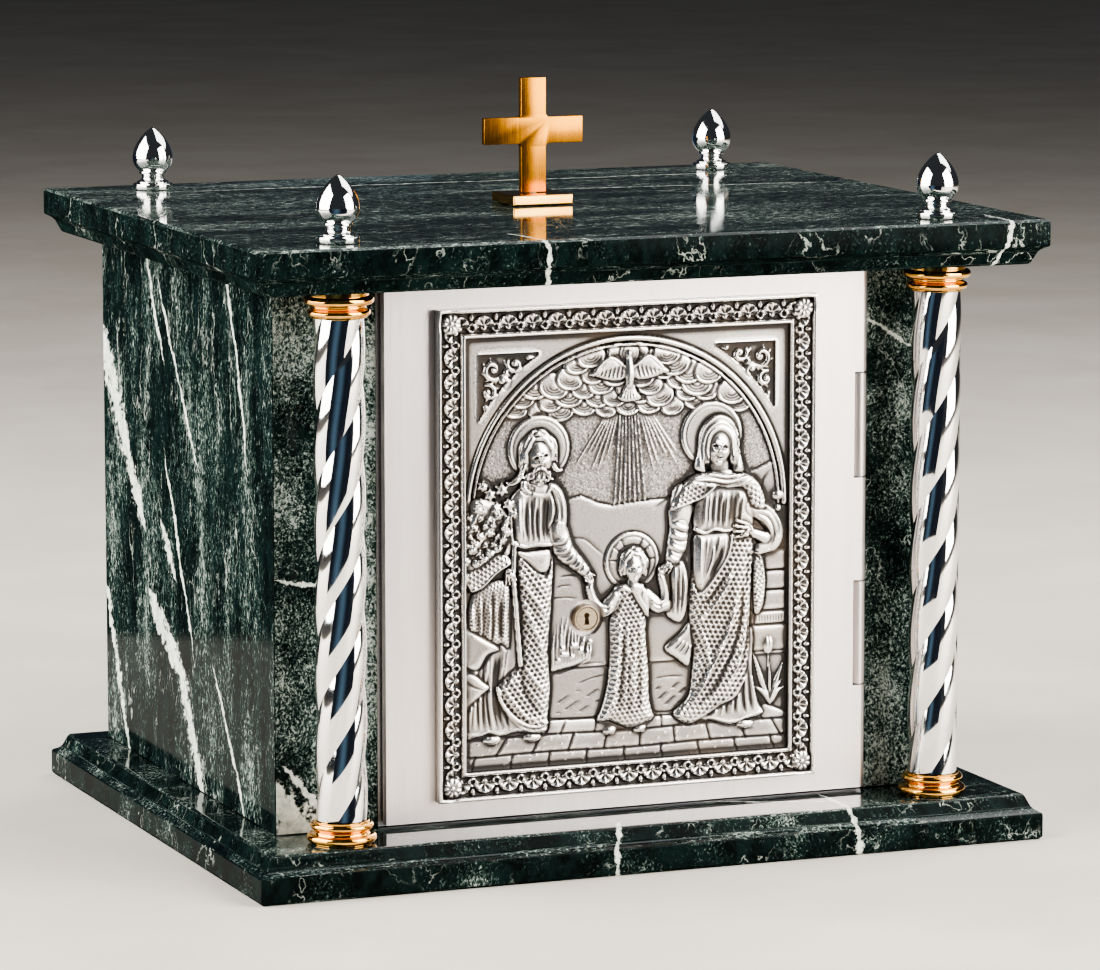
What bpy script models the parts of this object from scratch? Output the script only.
"""A table-top church tabernacle: a green marble box with moulded base and top slabs, two twisted
columns between gilt rings, four finials, a standing cross, a steel strongbox inside, and a hinged
metal door that carries a relief plaque and a key lock.

Metres, +Z up. The origin is the middle of the underside, and the door faces -Y.
"""
import math

import bmesh
import bpy
from mathutils import Matrix, Vector

# Driving dimensions
WIDTH = 0.400
DEPTH = 0.334
BOX_HEIGHT = 0.302
SLAB = 0.022            # thickness of the base and top slabs
FASCIA = 0.013          # upright outer band of each slab
MOULD_SETBACK = 0.0085  # how far the slab's inner face lies behind its fascia
CHAMFER = 0.0014        # bevel along the edge of the slab's outer face
GAP = 0.0003            # between pieces that touch

# Marble body between the slabs
BODY_HALF_WIDTH = 0.1765
BODY_FRONT = -0.119
BODY_BACK = 0.1445
WALL = 0.020
OPENING_HALF = 0.1255   # half the clear width between the front stiles

# Columns, finials and cross
COLUMN_X = 0.1519
COLUMN_Y = -0.142
SHAFT_RADIUS = 0.01215
SHAFT_LOBES = 3
LOBE_RADIUS = 0.0097    # each lobe is part of a circle of this radius
SHAFT_PITCH = 0.105     # rise of one full turn of the twist
BASE_FOOT = 0.0004      # plain foot under the base ring's large bead
CAPITAL_FOOT = 0.0018   # the same foot, above the capital's large bead
RING_BODY = 0.0102      # height of a ring without its foot
LARGE_BEAD = (0.0164, 0.0020)  # outer radius and thickness radius
SMALL_BEAD = (0.0149, 0.0016)
ROD_RADIUS = 0.003
ROD_HOLE = 0.0036
FINIAL_HEIGHT = 0.0312
FINIAL_RADIUS = 0.0101
FINIAL_WAIST = 0.0157   # height of the bulb's widest ring
FINIAL_PLACES = {
    "front_left": (-COLUMN_X, COLUMN_Y),
    "front_right": (COLUMN_X, COLUMN_Y),
    "back_left": (-0.1505, 0.1400),
    "back_right": (0.1565, 0.1400),
}
STUD_RISE = 0.006       # how far a rod or stud stands up into its finial
CROSS_HEIGHT = 0.0563
CROSS_BASE = (0.0315, 0.0300, 0.0050)
CROSS_SPAN = 0.0518
CROSS_BAR = 0.0130
CROSS_THICK = 0.0040
CROSS_ARM_Z = 0.0304    # middle of the arms above the cross's foot

# Door, hinge and plaque
DOOR_LEFT = -0.1235
DOOR_FRONT = -0.1250
DOOR_THICK = 0.0050
HINGE_X = 0.1210
KNUCKLE_RADIUS = 0.0035
HINGE_Y = DOOR_FRONT + KNUCKLE_RADIUS
PIN_RADIUS = 0.0016
PIN_HOLE = 0.0017
KNUCKLES = 5
KNUCKLE_PLAY = 0.0004
DOOR_LOW = SLAB + 0.002
DOOR_HIGH = BOX_HEIGHT - SLAB - 0.002
LEAF_THICK = 0.0015
PLAQUE_X = -0.002
PLAQUE_WIDTH = 0.1935
PLAQUE_LOW = 0.0335
PLAQUE_HEIGHT = 0.2335
PLAQUE_PROUD = 0.0060
PLAQUE_PLATE = 0.0020
PLAQUE_BORDER = 0.0138

# Strongbox and its front frame
FRAME_FRONT = -0.1178
FRAME_BACK = -0.1000
FRAME_INNER = (-0.1100, 0.1050, 0.0370, 0.2650)  # left, right, bottom, top of its opening
SHEET = 0.0015

# Lock, from its face backwards
LOCK_X = -0.0235
LOCK_Z = 0.1170
BARREL_RADIUS = 0.0064
BARREL_BORE = 0.0055
PLUG_RADIUS = 0.0052
TAIL_RADIUS = 0.0025
PLAY = 0.0003           # running clearance round the lock's moving pieces
BOLT_FRONT = -0.1170
BOLT_BACK = -0.1130
BOLT_TIP = -0.1085
BOLT_HEIGHT = 0.0100
BOLT_HEAD = (-0.0072, 0.0165, 0.0115)  # left and right ends beside the lock's axis, half height
CAM_FRONT = -0.1122
CAM_BACK = -0.1102
CAM_PIN_REACH = 0.0078  # from the lock's axis to the pin that drives the bolt
CAM_PIN_RADIUS = 0.0015
LOCK_TURN = 90.0        # degrees; the pin starts half of this to the right of straight up
CASE_HALF = (0.0200, 0.0170)
CASE_BACK = -0.1035
GUIDE_X = -0.0930
GUIDE_HALF = (0.0040, 0.0120)
GUIDE_BACK = -0.1105

MEDIUM, COARSE = 20, 12  # sides of round pieces


def clear_scene():
    for obj in list(bpy.data.objects):
        bpy.data.objects.remove(obj)


def new_collection(name):
    group = bpy.data.collections.new(name)
    bpy.context.scene.collection.children.link(group)
    return group


def principled(name, colour, roughness, metallic):
    made = bpy.data.materials.new(name)
    made.use_nodes = True
    shader = made.node_tree.nodes["Principled BSDF"]
    shader.inputs["Base Color"].default_value = (*colour, 1.0)
    shader.inputs["Roughness"].default_value = roughness
    shader.inputs["Metallic"].default_value = metallic
    return made


clear_scene()
PARTS = new_collection("tabernacle_box")
CUTTERS = new_collection("cutters")
MARBLE = principled("green_marble", (0.020, 0.050, 0.042), 0.12, 0.0)
SILVER = principled("silver_plate", (0.86, 0.84, 0.81), 0.06, 1.0)
GILT = principled("gilt_brass", (0.88, 0.58, 0.22), 0.10, 1.0)
BRUSHED = principled("brushed_steel", (0.70, 0.68, 0.66), 0.38, 1.0)
RELIEF = principled("antique_silver", (0.55, 0.53, 0.50), 0.35, 1.0)
STEEL = principled("plain_steel", (0.45, 0.45, 0.46), 0.40, 1.0)
LOCK_BRASS = principled("lock_brass", (0.62, 0.52, 0.38), 0.35, 1.0)


def add_object(name, data, material):
    obj = bpy.data.objects.new(name, data)
    PARTS.objects.link(obj)
    if material is not None:
        data.materials.append(material)
    return obj


def mesh_from(bm, name, material):
    data = bpy.data.meshes.new(name)
    bm.to_mesh(data)
    bm.free()
    return add_object(name, data, material)


def box(name, low, high, material=None):
    size = [b - a for a, b in zip(low, high)]
    middle = [(a + b) / 2 for a, b in zip(low, high)]
    bm = bmesh.new()
    bmesh.ops.create_cube(bm, matrix=Matrix.LocRotScale(middle, None, size))
    return mesh_from(bm, name, material)


def rod(name, radius, start, end, material=None, sides=COARSE):
    """A cylinder from start to end."""
    start, end = Vector(start), Vector(end)
    along = end - start
    place = Matrix.Translation((start + end) / 2) @ along.to_track_quat("Z", "Y").to_matrix().to_4x4()
    bm = bmesh.new()
    bmesh.ops.create_cone(
        bm, cap_ends=True, segments=sides, radius1=radius, radius2=radius, depth=along.length, matrix=place,
    )
    obj = mesh_from(bm, name, material)
    shade_round(obj)
    return obj


def shade_round(obj):
    obj.data.shade_smooth()
    obj.data.set_sharp_from_angle(angle=math.radians(35))


def as_mesh(obj):
    """The mesh object that a curve object makes, with its caps welded, in the curve's place."""
    bpy.context.view_layer.update()
    graph = bpy.context.evaluated_depsgraph_get()
    data = bpy.data.meshes.new_from_object(obj.evaluated_get(graph))
    bm = bmesh.new()
    bm.from_mesh(data)
    bmesh.ops.remove_doubles(bm, verts=bm.verts, dist=1e-6)
    bm.to_mesh(data)
    bm.free()
    made = bpy.data.objects.new(obj.name + "_mesh", data)
    for group in obj.users_collection:
        group.objects.link(made)
    made.matrix_world = obj.matrix_world.copy()
    name = obj.name
    bpy.data.objects.remove(obj)
    made.name = name
    return made


def prism(name, outlines, low, high, material=None):
    """Flat closed outlines in XY, extruded from height low to high. A second outline is a hole."""
    curve = bpy.data.curves.new(name, "CURVE")
    curve.dimensions = "2D"
    curve.fill_mode = "BOTH"
    curve.extrude = (high - low) / 2
    for outline in outlines:
        spline = curve.splines.new("POLY")
        spline.points.add(len(outline) - 1)
        for point, (x, y) in zip(spline.points, outline):
            point.co = (x, y, 0, 1)
        spline.use_cyclic_u = True
    obj = add_object(name, curve, material)
    obj.location.z = (low + high) / 2
    return as_mesh(obj)


def arc(centre, radius, start, end, steps):
    """Points on a circle from angle start to end, in degrees, both included."""
    turns = (math.radians(start + (end - start) * i / steps) for i in range(steps + 1))
    return [(centre[0] + radius * math.cos(a), centre[1] + radius * math.sin(a)) for a in turns]


def circle(centre, radius, sides):
    return arc(centre, radius, 0, 360 - 360 / sides, sides - 1)


def turned(name, profile, place, material, closed=False):
    """A profile of (radius, height) points, run down its outer side, spun about Z at place."""
    data = bpy.data.meshes.new(name)
    edges = [(i, i + 1) for i in range(len(profile) - 1)]
    if closed:
        edges.append((len(profile) - 1, 0))
    data.from_pydata([(r, 0, z) for r, z in profile], edges, [])
    obj = add_object(name, data, material)
    obj.location = place
    screw = obj.modifiers.new("spin", "SCREW")
    screw.steps = screw.render_steps = MEDIUM
    screw.use_merge_vertices = True
    screw.merge_threshold = 1e-6
    screw.use_smooth_shade = True
    return obj


def as_helper(obj):
    """Moves a solid to the cutters, where it is neither rendered nor built."""
    for group in list(obj.users_collection):
        group.objects.unlink(obj)
    CUTTERS.objects.link(obj)
    obj.hide_render = True
    obj.display_type = "WIRE"
    return obj


def boolean(obj, others, operation):
    for other in others:
        step = obj.modifiers.new(operation.lower(), "BOOLEAN")
        step.operation = operation
        step.solver = "EXACT"
        step.object = as_helper(other)
    return obj


def cut(obj, *cutters):
    return boolean(obj, cutters, "DIFFERENCE")


def joined(obj, *others):
    return boolean(obj, others, "UNION")


def mirrored(outline):
    """The outline reflected in the YZ plane, still running the same way round."""
    return [(-x, y) for x, y in reversed(outline)]


def both_sides():
    """The names and signs of the left and right halves."""
    return (("left", -1), ("right", 1))


# ---------------------------------------------------------------- marble

# Outline of a slab's edge from its outer face: bevel, upright fascia, then a hollow moulding that runs
# in to the inner face, as (setback from the fascia, height)
SLAB_PROFILE = (
    (CHAMFER, 0.0),
    (0.0, CHAMFER),
    (0.0, FASCIA - 0.0004),
    (0.0004, FASCIA),
    (0.0020, FASCIA + 0.0008),
    (0.0034, FASCIA + 0.0017),
    (0.0045, FASCIA + 0.0030),
    (0.0053, FASCIA + 0.0046),
    (0.0060, FASCIA + 0.0063),
    (0.0067, FASCIA + 0.0078),
    (0.0074, FASCIA + 0.0086),
    (MOULD_SETBACK, SLAB),
)


def moulded_slab(name):
    """A slab with its outer face on the plane z = 0, grown ring by ring along the edge's outline."""
    bm = bmesh.new()
    bmesh.ops.create_grid(bm, x_segments=1, y_segments=1, size=1.0)
    for level, (setback, height) in enumerate(SLAB_PROFILE):
        ring = bm.verts
        if level:
            top = max(bm.faces, key=lambda face: face.calc_center_median().z)
            moved = bmesh.ops.extrude_face_region(bm, geom=[top])["geom"]
            ring = [v for v in moved if isinstance(v, bmesh.types.BMVert)]
            if level > 1:
                bmesh.ops.delete(bm, geom=[top], context="FACES_ONLY")
        for vert in ring:
            vert.co.x = math.copysign(WIDTH / 2 - setback, vert.co.x)
            vert.co.y = math.copysign(DEPTH / 2 - setback, vert.co.y)
            vert.co.z = height
    bmesh.ops.recalc_face_normals(bm, faces=bm.faces)
    return mesh_from(bm, name, MARBLE)


NUT_POCKET_RADIUS = 0.0085
NUT_POCKET_DEPTH = 0.0085
STUD_DEPTH = 0.0120


def base_slab():
    slab = moulded_slab("base_slab")
    holes = []
    for side, sign in both_sides():
        x = sign * COLUMN_X
        holes.append(rod(f"cut_base_rod_{side}", ROD_HOLE, (x, COLUMN_Y, -0.01), (x, COLUMN_Y, 0.03)))
        holes.append(rod(
            f"cut_nut_{side}", NUT_POCKET_RADIUS, (x, COLUMN_Y, -0.01), (x, COLUMN_Y, NUT_POCKET_DEPTH)))
    return cut(slab, *holes)


def top_slab():
    slab = moulded_slab("top_slab")
    slab.rotation_euler.x = math.pi
    slab.location.z = BOX_HEIGHT
    low, high = BOX_HEIGHT - 0.03, BOX_HEIGHT + 0.01
    holes = []
    for corner, (x, y) in FINIAL_PLACES.items():
        bottom = low if corner.startswith("front") else BOX_HEIGHT - STUD_DEPTH - GAP
        holes.append(rod(f"cut_stud_{corner}", ROD_HOLE, (x, y, bottom), (x, y, high)))
    hole = 0.0023
    holes.append(rod("cut_cross_screw", hole, (0, 0, low), (0, 0, high)))
    holes.append(rod("cut_cross_head", 0.0048, (0, 0, low), (0, 0, BOX_HEIGHT - SLAB + 0.006)))
    return cut(slab, *holes)


def marble_walls():
    """Side walls, back wall and front stiles, mitred at the corners."""
    low, high = SLAB + GAP, BOX_HEIGHT - SLAB - GAP
    out, front, back = BODY_HALF_WIDTH, BODY_FRONT, BODY_BACK
    slip = GAP / 2 * math.sqrt(2)  # half a mitre's gap, along an axis
    left_wall = [
        (-out, front + slip), (-out + WALL, front + WALL + slip),
        (-out + WALL, back - WALL - slip), (-out, back - slip),
    ]
    left_stile = [
        (-out + slip, front), (-OPENING_HALF, front),
        (-OPENING_HALF, front + WALL), (-out + WALL + slip, front + WALL),
    ]
    back_wall = [
        (-out + slip, back), (-out + WALL + slip, back - WALL),
        (out - WALL - slip, back - WALL), (out - slip, back),
    ]
    prism("left_wall", [left_wall], low, high, MARBLE)
    prism("right_wall", [mirrored(left_wall)], low, high, MARBLE)
    prism("left_stile", [left_stile], low, high, MARBLE)
    prism("right_stile", [mirrored(left_stile)], low, high, MARBLE)
    prism("back_wall", [back_wall], low, high, MARBLE)


# ---------------------------------------------------------------- columns, finials, cross

SHAFT_LOW = SLAB + BASE_FOOT + RING_BODY + 2 * GAP
SHAFT_HIGH = BOX_HEIGHT - SLAB - CAPITAL_FOOT - RING_BODY - 2 * GAP
SHAFT_SIDES = 24
SHAFT_LEVELS = 26


def shaft_radius(angle):
    """Radius of the twisted shaft: lobes of circular outline that meet in sharp valleys."""
    centre = SHAFT_RADIUS - LOBE_RADIUS
    off = angle % (2 * math.pi / SHAFT_LOBES) - math.pi / SHAFT_LOBES
    return centre * math.cos(off) + math.sqrt(LOBE_RADIUS ** 2 - (centre * math.sin(off)) ** 2)


def column_shaft(side, x):
    """The lobed outline, extruded level by level and turned a little at each."""
    bm = bmesh.new()
    bmesh.ops.create_circle(bm, cap_ends=True, segments=SHAFT_SIDES, radius=SHAFT_RADIUS)
    for vert in bm.verts:
        radius = shaft_radius(math.atan2(vert.co.y, vert.co.x))
        vert.co.xy = vert.co.xy.normalized() * radius
        vert.co.z = SHAFT_LOW
    rise = (SHAFT_HIGH - SHAFT_LOW) / SHAFT_LEVELS
    turn = Matrix.Rotation(2 * math.pi * rise / SHAFT_PITCH, 3, "Z")
    for level in range(SHAFT_LEVELS):
        top = max(bm.faces, key=lambda face: face.calc_center_median().z)
        moved = bmesh.ops.extrude_face_region(bm, geom=[top])["geom"]
        if level:
            bmesh.ops.delete(bm, geom=[top], context="FACES_ONLY")
        verts = [v for v in moved if isinstance(v, bmesh.types.BMVert)]
        bmesh.ops.translate(bm, verts=verts, vec=(0, 0, rise))
        bmesh.ops.rotate(bm, verts=verts, cent=(0, 0, 0), matrix=turn)
    bmesh.ops.recalc_face_normals(bm, faces=bm.faces)
    shaft = mesh_from(bm, f"column_shaft_{side}", SILVER)
    shade_round(shaft)
    shaft.location = (x, COLUMN_Y, 0)
    bore = rod(f"cut_shaft_{side}", ROD_HOLE, (x, COLUMN_Y, 0), (x, COLUMN_Y, BOX_HEIGHT))
    cut(shaft, bore)


def bead(outer, thick, height):
    """Outer half of a round bead, run downwards from its top."""
    turns = (math.radians(80 - 32 * i) for i in range(6))
    return [(outer - thick + thick * math.cos(a), height + thick * math.sin(a)) for a in turns]


def ring_profile(foot):
    """Half section of a base ring over its bore: small bead, hollow, large bead and plain foot."""
    top = foot + RING_BODY
    outline = [(ROD_HOLE, top), (0.0130, top), (0.0130, top - 0.0008)]
    outline += bead(*SMALL_BEAD, foot + 0.0077)
    outline += [(0.0127, foot + 0.0054), (0.0127, foot + 0.0044)]
    outline += bead(*LARGE_BEAD, foot + LARGE_BEAD[1])
    return outline + [(0.0140, foot), (0.0140, 0.0), (ROD_HOLE, 0.0)]


def column_rings(side, x):
    turned(f"column_base_{side}", ring_profile(BASE_FOOT), (x, COLUMN_Y, SLAB + GAP), GILT, closed=True)
    height = CAPITAL_FOOT + RING_BODY
    flipped = [(r, height - z) for r, z in reversed(ring_profile(CAPITAL_FOOT))]
    turned(f"column_capital_{side}", flipped, (x, COLUMN_Y, SHAFT_HIGH + GAP), GILT, closed=True)


def tie_rod(side, x):
    """The rod that clamps slabs and column, its nut in the base's pocket, and its washer."""
    rod(f"tie_rod_{side}", ROD_RADIUS, (x, COLUMN_Y, 0.0012), (x, COLUMN_Y, BOX_HEIGHT + STUD_RISE),
        STEEL)
    across = 0.0055
    hexagon = circle((x, COLUMN_Y), across / math.cos(math.radians(30)), 6)
    hole = circle((x, COLUMN_Y), ROD_RADIUS + 0.0003, COARSE)
    prism(f"tie_rod_nut_{side}", [hexagon, hole], 0.0015, 0.0065, STEEL)
    washer = circle((x, COLUMN_Y), 0.0080, MEDIUM)
    prism(f"tie_rod_washer_{side}", [washer, hole], 0.0068, NUT_POCKET_DEPTH - GAP, STEEL)


def finial_profile():
    """Outer side of a finial from its tip to its foot, then up its blind hole."""
    over, under = FINIAL_HEIGHT - FINIAL_WAIST, 0.0088
    steps = 7
    outer = [(FINIAL_RADIUS * math.sin(math.pi / 2 * i / steps),
              FINIAL_WAIST + over * (1 - i / steps)) for i in range(steps + 1)]
    drops = (0.0025, 0.0048, 0.0064)
    outer += [(FINIAL_RADIUS * math.sqrt(1 - (drop / under) ** 2), FINIAL_WAIST - drop) for drop in drops]
    outer += [(0.0067, 0.0080), (0.0056, 0.0072), (0.0056, 0.0056), (0.0080, 0.0038), (0.0080, 0.0030),
              (0.0100, 0.0028), (0.0100, 0.0)]
    hole, deep = ROD_RADIUS + 0.0002, STUD_RISE + 0.0008
    return outer + [(hole, 0.0), (hole, deep), (0.0, deep)]


def finials_and_studs():
    for corner, (x, y) in FINIAL_PLACES.items():
        turned(f"finial_{corner}", finial_profile(), (x, y, BOX_HEIGHT + GAP), SILVER)
        if corner.startswith("back"):
            foot, head = BOX_HEIGHT - STUD_DEPTH, BOX_HEIGHT + STUD_RISE
            rod(f"finial_stud_{corner}", ROD_RADIUS, (x, y, foot), (x, y, head), STEEL)


def cross_on_base():
    foot = BOX_HEIGHT + GAP
    wide, deep, thick = CROSS_BASE
    base = box("cross_base", (-wide / 2, -deep / 2, foot), (wide / 2, deep / 2, foot + thick), GILT)
    bevel = base.modifiers.new("soft_edges", "BEVEL")
    bevel.width = 0.0005
    cut(base, rod("cut_cross_base", 0.0023, (0, 0, foot - 0.01), (0, 0, foot + 0.02)))
    screw_top = foot + thick + 0.008
    bar, half, flat = CROSS_BAR / 2, CROSS_SPAN / 2, CROSS_THICK / 2
    heel = foot + thick + GAP
    arms = heel + CROSS_ARM_Z
    cross = box("cross", (-bar, -flat, heel), (bar, flat, heel + CROSS_HEIGHT), GILT)
    joined(cross, box("join_cross_arms", (-half, -flat, arms - bar), (half, flat, arms + bar)))
    cut(cross, rod("cut_cross_foot", 0.0015, (0, 0, foot), (0, 0, screw_top + GAP)))
    shank = rod("cross_screw", 0.0013, (0, 0, BOX_HEIGHT - SLAB + 0.0030), (0, 0, screw_top), STEEL)
    head_low = BOX_HEIGHT - SLAB + 0.0025
    joined(shank, rod("join_cross_head", 0.0042, (0, 0, head_low), (0, 0, head_low + 0.003)))


# ---------------------------------------------------------------- strongbox and frame

CASE_LEFT = BODY_HALF_WIDTH - WALL - 0.0005
CASE_FRONT = BODY_FRONT + WALL + 0.0005
STRIKE_DEPTH = 0.0115   # how far the strike hole runs into the frame's left jamb


def inner_case():
    """Open-fronted sheet box that lines the marble."""
    low, high = SLAB + 0.0005, BOX_HEIGHT - SLAB - 0.0005
    back = BODY_BACK - WALL - 0.0005
    case = box("inner_case", (-CASE_LEFT, CASE_FRONT, low), (CASE_LEFT, back, high), STEEL)
    hollow = box(
        "cut_inner_case", (-CASE_LEFT + SHEET, CASE_FRONT - 0.01, low + SHEET),
        (CASE_LEFT - SHEET, back - SHEET, high - SHEET),
    )
    cut(case, hollow)


def door_frame():
    """Steel frame in the marble opening, which the door closes against."""
    left, right, low, high = FRAME_INNER
    outer = OPENING_HALF - GAP
    frame = box(
        "door_frame", (-outer, FRAME_FRONT, SLAB + GAP), (outer, FRAME_BACK, BOX_HEIGHT - SLAB - GAP), STEEL)
    opening = box("cut_frame", (left, FRAME_FRONT - 0.01, low), (right, FRAME_BACK + 0.01, high))
    tall = BOLT_HEIGHT / 2 + 0.001
    slot = box(
        "cut_strike", (left - STRIKE_DEPTH, FRAME_FRONT - 0.001, LOCK_Z - tall),
        (left + 0.005, BOLT_BACK + 0.001, LOCK_Z + tall),
    )
    cut(frame, opening, slot)
    holes = []
    for i, z in enumerate(leaf_screw_heights()):
        holes.append(rod(
            f"cut_leaf_screw_{i}", 0.0012, (LEAF_SCREW_X, FRAME_FRONT - 0.005, z),
            (LEAF_SCREW_X, FRAME_FRONT + 0.009, z)))
    cut(frame, *holes)


def frame_screws():
    """Four screws through the frame's jambs into the marble stiles."""
    y = (FRAME_FRONT + FRAME_BACK) / 2 + 0.004
    frame = bpy.data.objects["door_frame"]
    jambs = {-1: FRAME_INNER[0], 1: FRAME_INNER[1]}
    for side, sign in both_sides():
        stile = bpy.data.objects[f"{side}_stile"]
        for level, z in (("low", 0.070), ("high", 0.232)):
            inner = jambs[sign] + sign * 0.0004
            tip = sign * (OPENING_HALF + 0.0120)
            clear = (sign * 0.0004, 0, 0)
            name = f"frame_screw_{side}_{level}"
            shank = rod(name, 0.0015, (inner + sign * 0.001, y, z), (tip, y, z), STEEL)
            head = rod("join_" + name, 0.0032, (inner, y, z), (inner + sign * 0.0022, y, z))
            joined(shank, head)
            start = (inner - sign * 0.003, y, z)
            seat = (inner + sign * 0.0026, y, z)
            cut(frame, rod("cut_seat_" + name, 0.0036, start, seat),
                rod("cut_hole_" + name, 0.0019, start, (tip, y, z)))
            cut(stile, rod("cut_stile_" + name, 0.0019, start, Vector((tip, y, z)) + Vector(clear)))


# ---------------------------------------------------------------- door and hinge

KNUCKLE_LENGTH = (DOOR_HIGH - DOOR_LOW) / KNUCKLES
LEAF_SCREW_X = 0.1115
COMB_EDGE = HINGE_X - KNUCKLE_RADIUS - 0.0004  # where a leaf stops beside the other leaf's knuckle


def leaf_screw_heights():
    return [DOOR_LOW + KNUCKLE_LENGTH * (i + 0.5) for i in (0, 1, 3, 4)]


def knuckle_gaps(prefix, numbers, back, front):
    """Cutters that clear the knuckles with these numbers, counted from the bottom, off a leaf."""
    made = []
    for i in numbers:
        low = DOOR_LOW + KNUCKLE_LENGTH * i - KNUCKLE_PLAY
        high = DOOR_LOW + KNUCKLE_LENGTH * (i + 1) + KNUCKLE_PLAY
        if i == 0:
            low -= 0.01
        if i == KNUCKLES - 1:
            high += 0.01
        corner = (HINGE_X + 0.01, front, high)
        made.append(box(f"{prefix}_{i}", (COMB_EDGE, back, low), corner))
    return made


def door_plate():
    """Flat plate whose right edge is rolled into three knuckles."""
    back = DOOR_FRONT + DOOR_THICK
    lift = back - HINGE_Y
    meet = 180 - math.degrees(math.asin(lift / KNUCKLE_RADIUS))
    outline = [(DOOR_LEFT, DOOR_FRONT)]
    outline += arc((HINGE_X, HINGE_Y), KNUCKLE_RADIUS, -90, meet, 18)
    outline += [(DOOR_LEFT, back)]
    bore = circle((HINGE_X, HINGE_Y), PIN_HOLE, COARSE)
    door = prism("door_plate", [outline, bore], DOOR_LOW, DOOR_HIGH, BRUSHED)
    cut(door, *knuckle_gaps("cut_door", (1, 3), DOOR_FRONT - 0.01, BODY_FRONT + 0.01))
    through = (LOCK_X, DOOR_FRONT - 0.01, LOCK_Z), (LOCK_X, back + 0.01, LOCK_Z)
    cut(door, rod("cut_door_lock", BARREL_RADIUS + 0.0003, *through))
    for i, (x, z) in enumerate(plaque_stud_places()):
        cut(door, rod(f"cut_door_stud_{i}", 0.0019, (x, DOOR_FRONT - 0.01, z), (x, back + 0.01, z)))


def hinge_leaf():
    """The frame's leaf, with the two knuckles that stand between the door's."""
    back = HINGE_Y + KNUCKLE_RADIUS
    front = back - LEAF_THICK
    rise = math.degrees(math.asin((front - HINGE_Y) / KNUCKLE_RADIUS))
    outline = [(FRAME_INNER[1] + 0.001, back)]
    outline += [(FRAME_INNER[1] + 0.001, front)]
    outline += arc((HINGE_X, HINGE_Y), KNUCKLE_RADIUS, 180 - rise, 450, 22)
    bore = circle((HINGE_X, HINGE_Y), PIN_HOLE, COARSE)
    leaf = prism("hinge_leaf", [outline, bore], DOOR_LOW, DOOR_HIGH, BRUSHED)
    cut(leaf, *knuckle_gaps("cut_leaf", (0, 2, 4), DOOR_FRONT - 0.01, BODY_FRONT + 0.01))
    for i, z in enumerate(leaf_screw_heights()):
        start, end = (LEAF_SCREW_X, front - 0.002, z), (LEAF_SCREW_X, back + 0.002, z)
        cut(leaf, rod(f"cut_leaf_hole_{i}", 0.0022, start, end))
        head_end = (LEAF_SCREW_X, back - 0.0001, z)
        screw = rod(f"leaf_screw_{i + 1}", 0.0009, (LEAF_SCREW_X, front + 0.0006, z),
                    (LEAF_SCREW_X, FRAME_FRONT + 0.008, z), STEEL)
        head = rod(f"join_leaf_head_{i}", 0.0019, (LEAF_SCREW_X, front + 0.0002, z), head_end)
        joined(screw, head)


def hinge_pin():
    rod("hinge_pin", PIN_RADIUS, (HINGE_X, HINGE_Y, DOOR_LOW), (HINGE_X, HINGE_Y, DOOR_HIGH), STEEL)


# ---------------------------------------------------------------- plaque

PLAQUE_BACK = DOOR_FRONT - GAP
PLAQUE_FACE = DOOR_FRONT - PLAQUE_PROUD
ARCH_RADIUS = 0.0815
ARCH_SPRING = 0.1345    # height of the arch's springing above the plaque's lower edge
FIELD_FACE = PLAQUE_BACK - PLAQUE_PLATE


def plaque_stud_places():
    dx, dz = PLAQUE_WIDTH / 2 - 0.016, PLAQUE_HEIGHT / 2 - 0.016
    middle = PLAQUE_LOW + PLAQUE_HEIGHT / 2
    return [(PLAQUE_X + sx * dx, middle + sz * dz) for sx in (-1, 1) for sz in (-1, 1)]


def standing(name, outlines, back, face, material=None):
    """Outlines in X and Z, extruded between two depths in Y."""
    made = prism(name, outlines, -back, -face, material)
    made.data.transform(Matrix.Rotation(math.pi / 2, 4, "X"))
    made.data.transform(Matrix.Translation((0, made.location.z * -1, 0)))
    made.location.z = 0
    return made


def figure_outlines():
    """Plain silhouettes of the three standing figures, in plaque coordinates from its lower middle."""
    tall = [
        (-0.021, 0.000), (-0.017, 0.052), (-0.020, 0.084), (-0.011, 0.112), (-0.006, 0.118), (-0.007, 0.134),
        (0.000, 0.141), (0.007, 0.134), (0.006, 0.118), (0.011, 0.112), (0.019, 0.086), (0.017, 0.050),
        (0.020, 0.000),
    ]
    child = [
        (-0.013, 0.000), (-0.009, 0.050), (-0.019, 0.062), (-0.019, 0.068), (-0.005, 0.066), (-0.006, 0.078),
        (0.000, 0.084), (0.006, 0.078), (0.005, 0.066), (0.018, 0.070), (0.018, 0.064), (0.009, 0.050),
        (0.014, 0.000),
    ]
    return (("man", tall, -0.046, 0.026), ("child", child, 0.000, 0.030), ("woman", tall, 0.046, 0.032))


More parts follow.
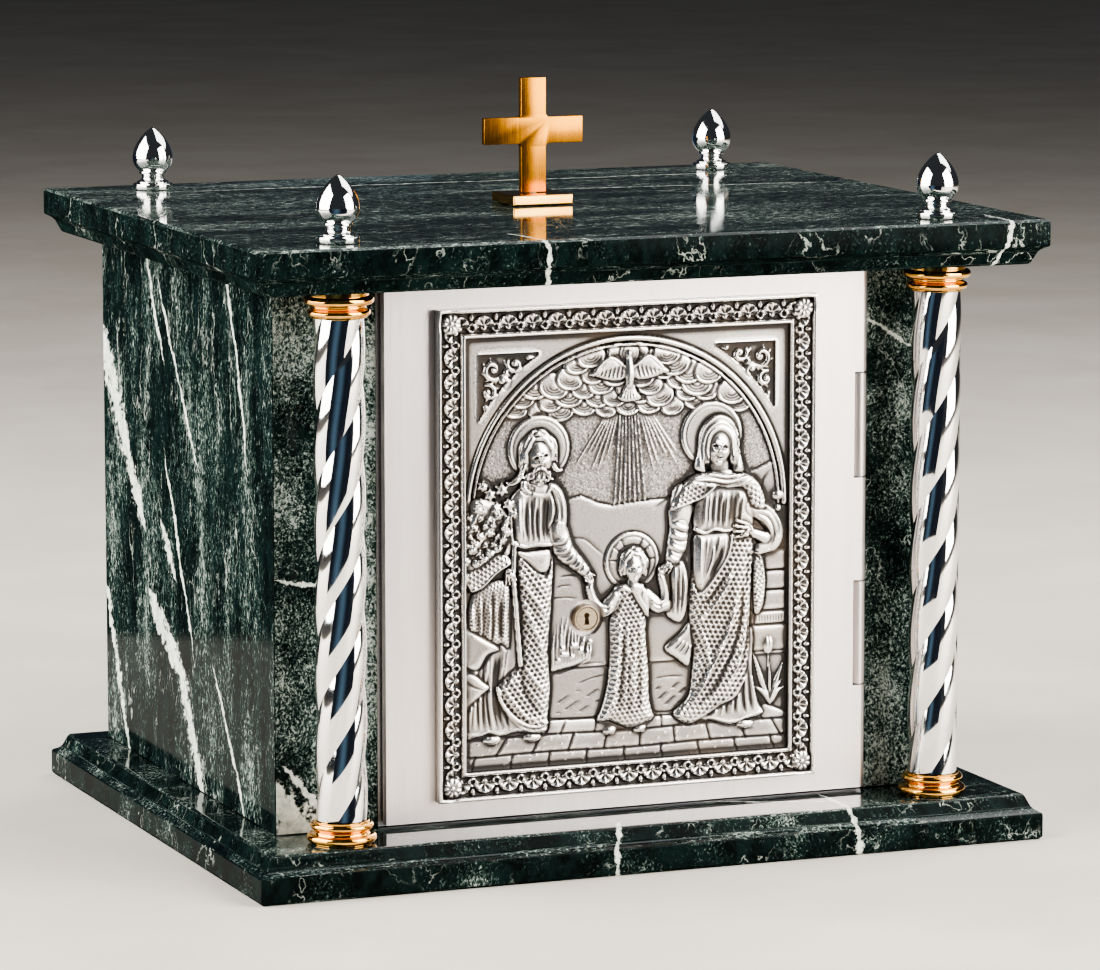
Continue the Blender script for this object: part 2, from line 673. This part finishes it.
def relief_plaque():
    """Back plate with a raised border, an arch and three plain silhouettes."""
    half, border = PLAQUE_WIDTH / 2, PLAQUE_BORDER
    low, high = PLAQUE_LOW, PLAQUE_LOW + PLAQUE_HEIGHT
    left, right = PLAQUE_X - half, PLAQUE_X + half
    plaque = box("relief_plaque", (left, PLAQUE_FACE, low), (right, PLAQUE_BACK, high), RELIEF)
    field = box(
        "cut_field", (left + border, PLAQUE_FACE - 0.01, low + border),
        (right - border, FIELD_FACE, high - border))
    cut(plaque, field)
    spring = low + ARCH_SPRING
    arch = arc((PLAQUE_X, spring), ARCH_RADIUS, 0, 180, 28)
    arch += arc((PLAQUE_X, spring), ARCH_RADIUS - 0.0035, 180, 0, 28)
    pieces = [standing("join_arch", [arch], FIELD_FACE + 0.0008, FIELD_FACE - 0.0022)]
    for name, outline, x, z in figure_outlines():
        placed = [(PLAQUE_X + x + u, low + z + v) for u, v in outline]
        placed.reverse()
        pieces.append(standing(f"join_{name}", [placed], FIELD_FACE + 0.0008, FIELD_FACE - 0.0028))
    joined(plaque, *pieces)
    cut(plaque, rod(
        "cut_plaque_lock", BARREL_RADIUS + 0.0003, (LOCK_X, PLAQUE_FACE - 0.01, LOCK_Z),
        (LOCK_X, PLAQUE_BACK + 0.01, LOCK_Z)))
    for i, (x, z) in enumerate(plaque_stud_places()):
        cut(plaque, rod(
            f"cut_plaque_stud_{i}", 0.0013, (x, PLAQUE_BACK - 0.0015, z), (x, PLAQUE_BACK + 0.01, z)))


def plaque_screws():
    """Four screws from the door's back into the plaque."""
    back = DOOR_FRONT + DOOR_THICK
    for i, (x, z) in enumerate(plaque_stud_places()):
        start, end = (x, PLAQUE_BACK - 0.0012, z), (x, back + 0.0010, z)
        screw = rod(f"plaque_screw_{i + 1}", 0.0011, start, end, STEEL)
        head = rod(f"join_plaque_head_{i}", 0.0030, (x, back + GAP, z), (x, back + 0.0018, z))
        joined(screw, head)


# ---------------------------------------------------------------- lock

DOOR_BACK = DOOR_FRONT + DOOR_THICK
PLUG_FACE = PLAQUE_FACE + 0.0022
HALF_TURN = math.radians(LOCK_TURN / 2)
PIN_SIDE = CAM_PIN_REACH * math.sin(HALF_TURN)  # how far beside the axis the pin starts and ends
PIN_RISE = CAM_PIN_REACH * math.cos(HALF_TURN)
BOLT_THROW = 2 * PIN_SIDE


def along_lock(name, radius, front, back, x=0.0, z=0.0, material=None, sides=COARSE):
    """A cylinder parallel to the lock's axis, x and z away from it."""
    place = LOCK_X + x, LOCK_Z + z
    return rod(name, radius, (place[0], front, place[1]), (place[0], back, place[1]), material, sides)


def lock_barrel():
    """Sleeve through plaque and door, with a flange behind the door."""
    back = DOOR_BACK + 0.0012
    barrel = along_lock(
        "lock_barrel", BARREL_RADIUS, PLUG_FACE - GAP, back, material=LOCK_BRASS, sides=MEDIUM)
    joined(barrel, along_lock("join_flange", 0.0085, DOOR_BACK + GAP, back, sides=MEDIUM))
    cut(barrel, along_lock("cut_barrel", BARREL_BORE, PLUG_FACE - 0.01, back + 0.01, sides=MEDIUM))


def lock_plug():
    """The turning plug: keyhole in its face, thin tail through the bolt and the cam."""
    shoulder = DOOR_BACK + 0.0010
    plug = along_lock("lock_plug", PLUG_RADIUS, PLUG_FACE, shoulder, material=LOCK_BRASS, sides=MEDIUM)
    joined(plug, along_lock("join_tail", TAIL_RADIUS, shoulder - 0.001, CAM_BACK))
    deep = PLUG_FACE + 0.0060
    head = along_lock("cut_key_head", 0.0014, PLUG_FACE - 0.01, deep, z=0.0014)
    slot = standing("cut_key_slot", [[
        (LOCK_X - 0.0013, LOCK_Z - 0.0030), (LOCK_X + 0.0013, LOCK_Z - 0.0030),
        (LOCK_X + 0.0007, LOCK_Z + 0.0012), (LOCK_X - 0.0007, LOCK_Z + 0.0012),
    ]], deep - 0.0004, PLUG_FACE - 0.01)
    cut(plug, head, slot, along_lock("cut_tail", 0.0013, CAM_BACK - 0.0060, CAM_BACK + 0.01))
    shank = along_lock("cam_screw", 0.0010, CAM_BACK - 0.0055, CAM_BACK + 0.0017, material=STEEL)
    joined(shank, along_lock("join_cam_screw_head", 0.0038, CAM_BACK + GAP, CAM_BACK + 0.0017))


def lock_cam():
    """Arm clamped on the plug's tail, whose pin stands forward into the bolt's slot."""
    tip_radius, hub_radius = 0.0028, 0.0050
    towards = 90 - LOCK_TURN / 2
    outline = arc((LOCK_X, LOCK_Z), hub_radius, towards + 90, towards + 270, 10)
    outline += arc((LOCK_X + PIN_SIDE, LOCK_Z + PIN_RISE), tip_radius, towards - 90, towards + 90, 8)
    cam = standing("lock_cam", [outline], CAM_BACK, CAM_FRONT, STEEL)
    pin = along_lock("join_cam_pin", CAM_PIN_RADIUS, BOLT_FRONT, CAM_FRONT + 0.001, PIN_SIDE, PIN_RISE)
    joined(cam, pin)
    cut(cam, along_lock("cut_cam", TAIL_RADIUS + GAP, CAM_FRONT - 0.01, CAM_BACK + 0.01))


def lock_bolt():
    """Long flat bolt with a hole round the plug's tail and an upright slot for the cam's pin."""
    left, right, tall = BOLT_HEAD
    bar = BOLT_HEIGHT / 2
    bolt = box("lock_bolt", (BOLT_TIP, BOLT_FRONT, LOCK_Z - bar),
               (LOCK_X + left + 0.001, BOLT_BACK, LOCK_Z + bar), STEEL)
    joined(bolt, box("join_bolt_head", (LOCK_X + left, BOLT_FRONT, LOCK_Z - tall),
                     (LOCK_X + right, BOLT_BACK, LOCK_Z + tall)))
    tail, pin = TAIL_RADIUS + PLAY, CAM_PIN_RADIUS + PLAY
    front, back = BOLT_FRONT - 0.01, BOLT_BACK + 0.01
    tail_hole = box("cut_bolt_tail", (LOCK_X - tail, front, LOCK_Z - tail),
                    (LOCK_X + BOLT_THROW + tail, back, LOCK_Z + tail))
    slot = box("cut_bolt_slot", (LOCK_X + PIN_SIDE - pin, front, LOCK_Z + PIN_RISE - pin),
               (LOCK_X + PIN_SIDE + pin, back, LOCK_Z + CAM_PIN_REACH + pin))
    cut(bolt, tail_hole, slot)


def screw_into_door(name, x, z, seat):
    """A small cheese-head screw whose head rests on the plane y = seat and whose tip ends in the door."""
    shank = rod(name, 0.0009, (x, DOOR_BACK - 0.0030, z), (x, seat + 0.0014, z), STEEL)
    joined(shank, rod("join_" + name, 0.0019, (x, seat + GAP, z), (x, seat + 0.0014, z)))
    door = bpy.data.objects["door_plate"]
    cut(door, rod("cut_" + name, 0.0012, (x, DOOR_BACK - 0.0033, z), (x, DOOR_BACK + 0.01, z)))
    return rod("cut_seat_" + name, 0.0012, (x, DOOR_BACK - 0.01, z), (x, seat + 0.01, z))


def bolt_tunnel(name, left, right):
    bar = BOLT_HEIGHT / 2 + PLAY
    return box(name, (left, BOLT_FRONT - PLAY, LOCK_Z - bar), (right, BOLT_BACK + PLAY, LOCK_Z + bar))


def lock_case():
    """Cover over cam and bolt head, open towards the door, with two ears for its screws."""
    wide, tall = CASE_HALF
    front, wall, ear = DOOR_BACK + GAP, 0.0012, 0.0065
    case = box(
        "lock_case", (LOCK_X - wide, front, LOCK_Z - tall), (LOCK_X + wide, CASE_BACK, LOCK_Z + tall), STEEL)
    joined(case, box("join_case_ears", (LOCK_X - 0.004, front, LOCK_Z - tall - ear),
                     (LOCK_X + 0.004, front + wall, LOCK_Z + tall + ear)))
    hollow = box("cut_case", (LOCK_X - wide + wall, front - 0.01, LOCK_Z - tall + wall),
                 (LOCK_X + wide - wall, CASE_BACK - wall, LOCK_Z + tall - wall))
    tunnel = bolt_tunnel("cut_case_bolt", LOCK_X - wide - 0.01, LOCK_X - wide + 0.01)
    middle = tall + ear / 2
    seats = [screw_into_door(f"case_screw_{name}", LOCK_X, LOCK_Z + sign * middle, front + wall)
             for name, sign in (("lower", -1), ("upper", 1))]
    cut(case, hollow, tunnel, *seats)


def bolt_guide():
    """Block on the door's back that carries the far end of the bolt."""
    half, tall = GUIDE_HALF
    front = DOOR_BACK + GAP
    guide = box(
        "bolt_guide", (GUIDE_X - half, front, LOCK_Z - tall), (GUIDE_X + half, GUIDE_BACK, LOCK_Z + tall), STEEL)
    seats = [screw_into_door(f"guide_screw_{name}", GUIDE_X, LOCK_Z + sign * (tall - 0.0033), GUIDE_BACK)
             for name, sign in (("lower", -1), ("upper", 1))]
    cut(guide, bolt_tunnel("cut_guide", GUIDE_X - 0.01, GUIDE_X + 0.01), *seats)


def build():
    base_slab()
    top_slab()
    marble_walls()
    for side, sign in both_sides():
        column_shaft(side, sign * COLUMN_X)
        column_rings(side, sign * COLUMN_X)
        tie_rod(side, sign * COLUMN_X)
    finials_and_studs()
    cross_on_base()
    inner_case()
    door_frame()
    frame_screws()
    door_plate()
    hinge_leaf()
    hinge_pin()
    relief_plaque()
    plaque_screws()
    lock_barrel()
    lock_plug()
    lock_cam()
    lock_bolt()
    lock_case()
    bolt_guide()


build()
